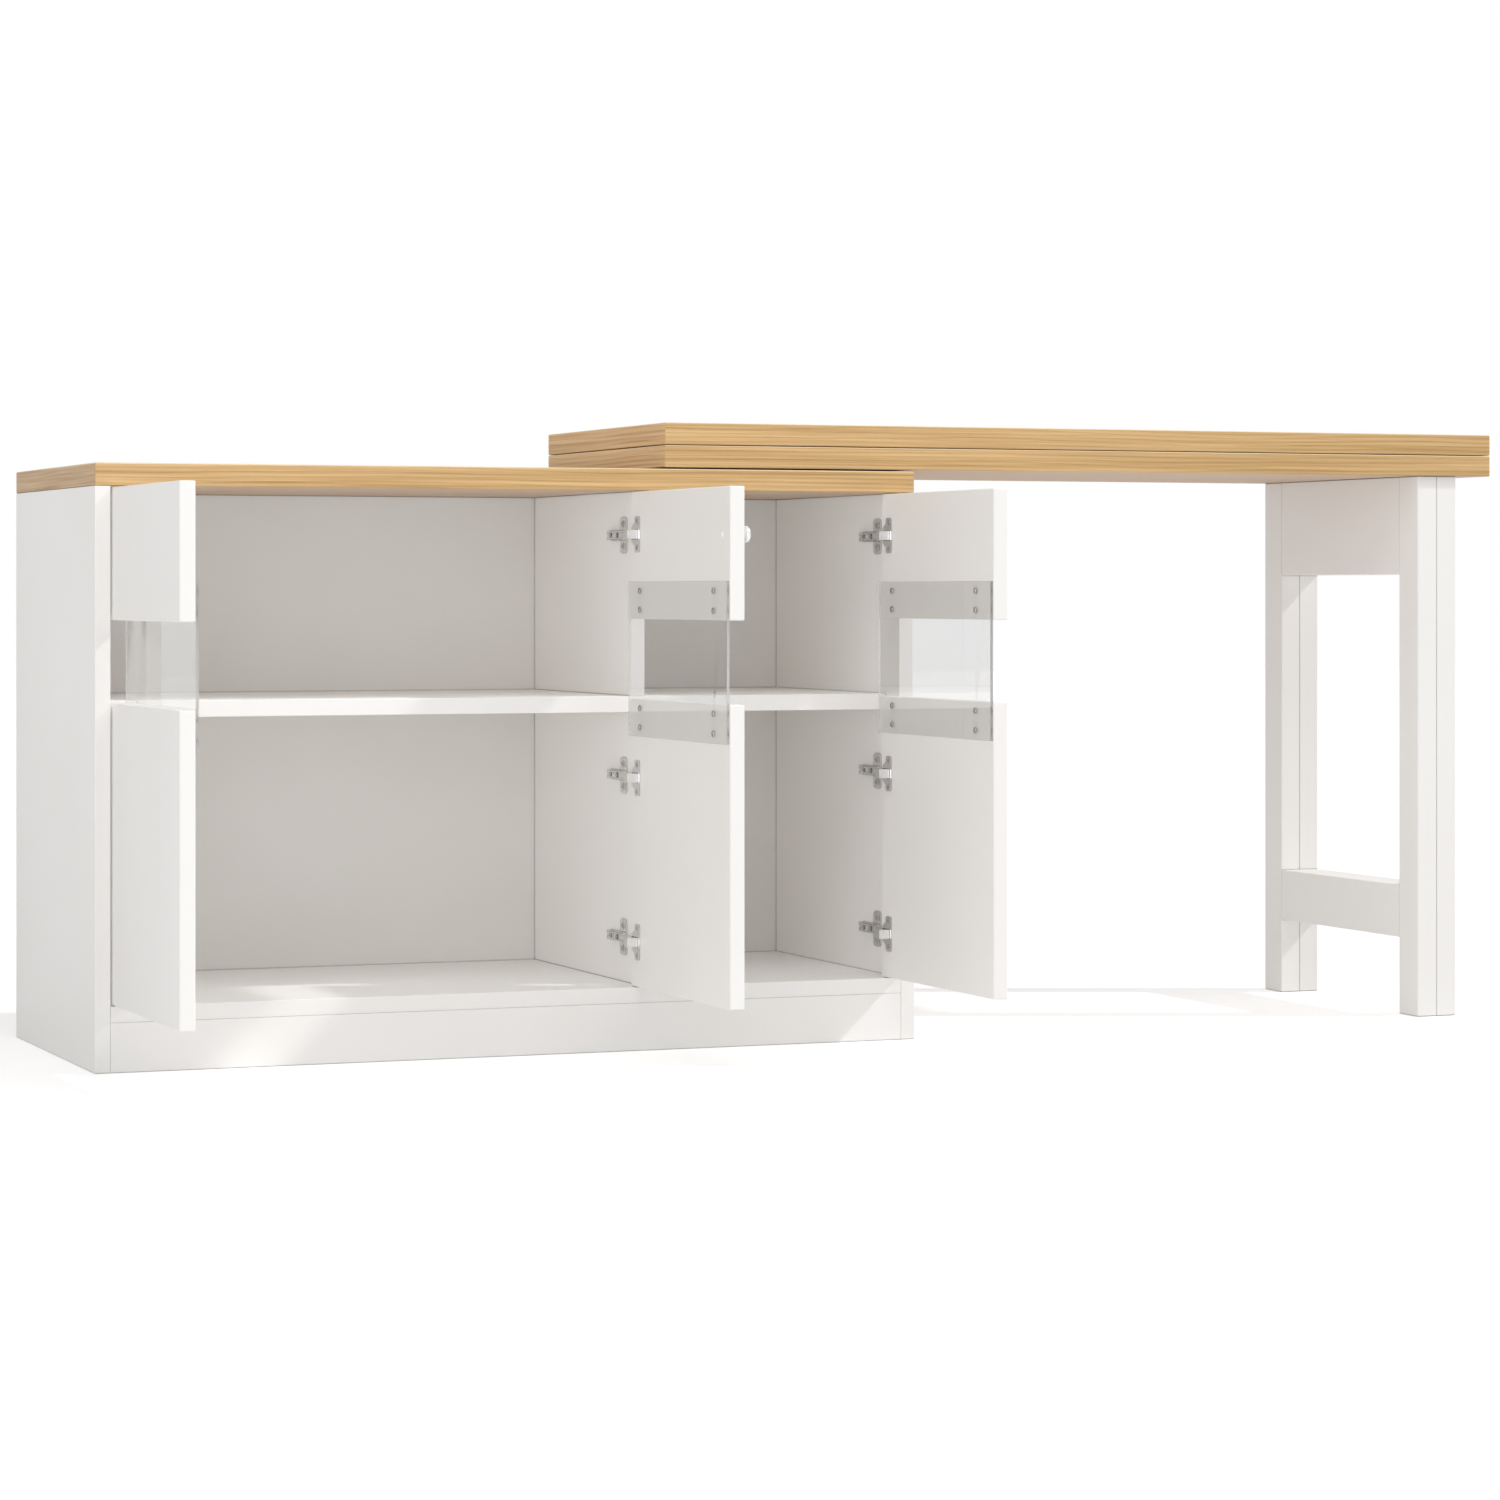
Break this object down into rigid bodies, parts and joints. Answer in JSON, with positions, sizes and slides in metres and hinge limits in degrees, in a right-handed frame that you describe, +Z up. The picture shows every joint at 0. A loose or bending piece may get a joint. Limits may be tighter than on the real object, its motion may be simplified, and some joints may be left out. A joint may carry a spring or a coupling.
{
  "type": "bar table",
  "caption": "Bar table: a storage cabinet with hinged doors that have clear windows, and a raised two-leaf bar that swivels on the cabinet and stands on a leg frame at its far end.",
  "frame": {"origin": "on the floor under the middle of the object's box, with the doors open as in the picture", "axes": "+X along the front towards the leg frame, +Y from the front to the back, +Z up"},
  "size_m": [2.558, 1.035, 1.0475],
  "materials": {
    "white_paint": "satin white paint on board",
    "oak_top": "natural oak, satin lacquer, grain along X",
    "clear_plate": "clear acrylic sheet, polished",
    "nickel": "nickel plate, polished",
    "zinc_steel": "zinc plated steel",
    "beech": "plain beech"
  },
  "bodies": {
    "cabinet": {"left_side_panel": "white_paint", "right_side_panel": "white_paint", "bottom_board": "white_paint", "front_plinth": "white_paint", "rear_plinth": "white_paint", "back_panel": "white_paint", "back_rail": "white_paint", "middle_shelf": "white_paint", "lower_divider": "white_paint", "upper_divider": "white_paint", "cabinet_top": "oak_top", "carcass_dowels": "beech", "cam_fittings": "zinc_steel", "left_hinge_plates": "nickel", "middle_hinge_plates": "nickel", "right_hinge_plates": "nickel", "left_hinge_arms": "nickel", "middle_hinge_arms": "nickel", "right_hinge_arms": "nickel", "hinge_mount_screws": "zinc_steel", "swivel_lower_plate": "zinc_steel", "swivel_lower_screws": "zinc_steel", "swivel_bolt": "zinc_steel"},
    "left_door": {"left_door_upper_panel": "white_paint", "left_door_lower_panel": "white_paint", "left_door_clear_plate": "clear_plate", "left_door_plate_screws": "nickel", "left_hinge_cups": "nickel", "left_hinge_pins": "zinc_steel", "left_hinge_cup_screws": "zinc_steel"},
    "middle_door": {"middle_door_upper_panel": "white_paint", "middle_door_lower_panel": "white_paint", "middle_door_clear_plate": "clear_plate", "middle_door_plate_screws": "nickel", "middle_hinge_cups": "nickel", "middle_hinge_pins": "zinc_steel", "middle_hinge_cup_screws": "zinc_steel", "door_knob": "nickel", "door_knob_screw": "zinc_steel"},
    "right_door": {"right_door_upper_panel": "white_paint", "right_door_lower_panel": "white_paint", "right_door_clear_plate": "clear_plate", "right_door_plate_screws": "nickel", "right_hinge_cups": "nickel", "right_hinge_pins": "zinc_steel", "right_hinge_cup_screws": "zinc_steel"},
    "bar": {"bar_lower_leaf": "oak_top", "bar_upper_leaf": "oak_top", "bar_leaf_spacers": "zinc_steel", "bar_leaf_screws": "zinc_steel", "front_post_inner_board": "white_paint", "front_post_outer_board": "white_paint", "rear_post_inner_board": "white_paint", "rear_post_outer_board": "white_paint", "leg_apron": "white_paint", "leg_stretcher": "white_paint", "leg_dowels": "beech", "swivel_upper_plate": "zinc_steel", "swivel_upper_screws": "zinc_steel", "swivel_bush": "nickel"}
  },
  "joints": [
    {"name": "left_door_hinge", "type": "hinge", "parent": "cabinet", "child": "left_door", "pos_m": [-1.242, -0.07382, 0.455], "axis": [0, 0, -1], "range_deg": [-90, 5]},
    {"name": "middle_door_hinge", "type": "hinge", "parent": "cabinet", "child": "middle_door", "pos_m": [-0.35167, -0.07382, 0.455], "axis": [0, 0, 1], "range_deg": [-90, 5]},
    {"name": "right_door_hinge", "type": "hinge", "parent": "cabinet", "child": "right_door", "pos_m": [0.104, -0.07382, 0.455], "axis": [0, 0, 1], "range_deg": [-90, 5]},
    {"name": "bar_swivel", "type": "hinge", "parent": "cabinet", "child": "bar", "pos_m": [-0.0865, 0.21748, 0.97], "axis": [0, 0, 1], "range_deg": [-90, 90]}
  ]
}
